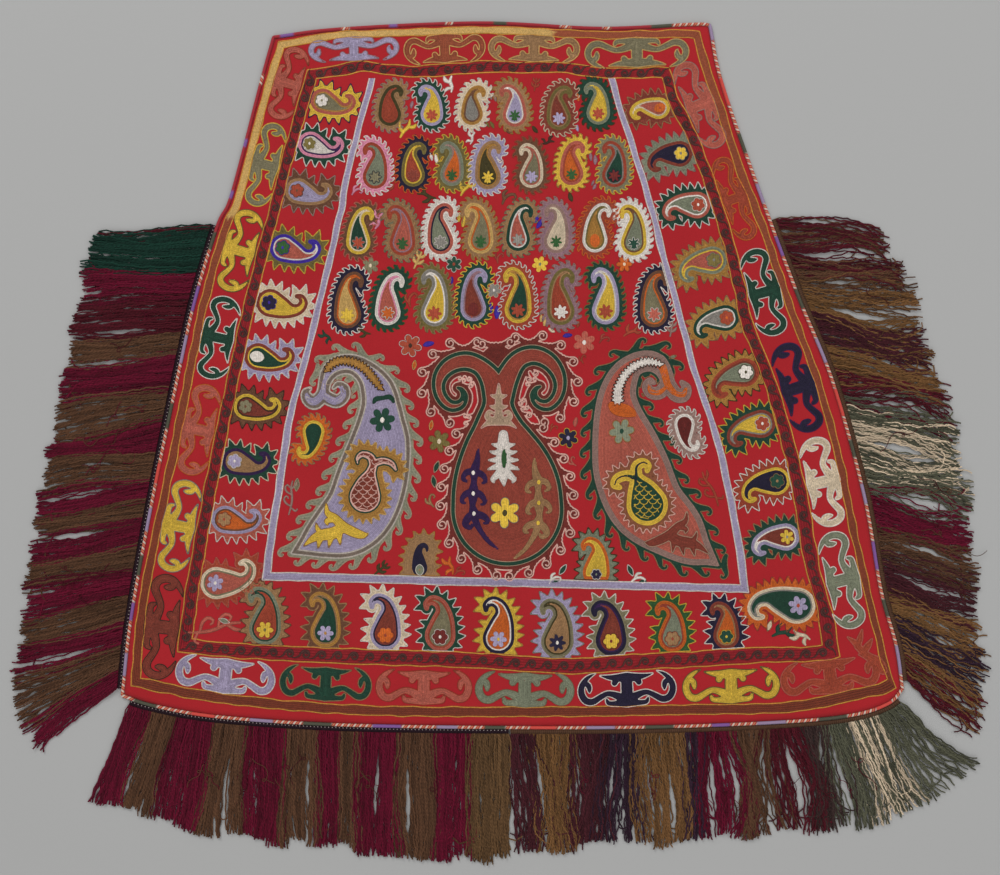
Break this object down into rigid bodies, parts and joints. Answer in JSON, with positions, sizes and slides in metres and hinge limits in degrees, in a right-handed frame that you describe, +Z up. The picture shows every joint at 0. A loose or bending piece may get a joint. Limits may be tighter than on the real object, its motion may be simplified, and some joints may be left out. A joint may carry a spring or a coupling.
{
  "type": "embroidered saddle cover",
  "caption": "Flat embroidered saddle cover, narrow at its top and wide at its foot, with a striped piping round its edge and a deep yarn fringe along its foot and both sides.",
  "frame": {"origin": "middle of the cloth's box, on the cloth's underside", "axes": "+X to the cover's right as it is looked down on, +Y to its narrow top, +Z up out of the embroidered face"},
  "size_m": [1.4762, 1.2681, 0.0105],
  "materials": {
    "red_cloth": "matte",
    "striped_piping": "satin",
    "crimson_yarn": "matte",
    "brown_yarn": "matte",
    "embroidery_silk": "satin"
  },
  "bodies": {
    "root": {"panel": "red_cloth", "piping": "striped_piping", "fringe_left": "crimson_yarn", "fringe_foot_left": "crimson_yarn", "fringe_foot_right": "brown_yarn", "fringe_right": "brown_yarn"}
  },
  "joints": []
}
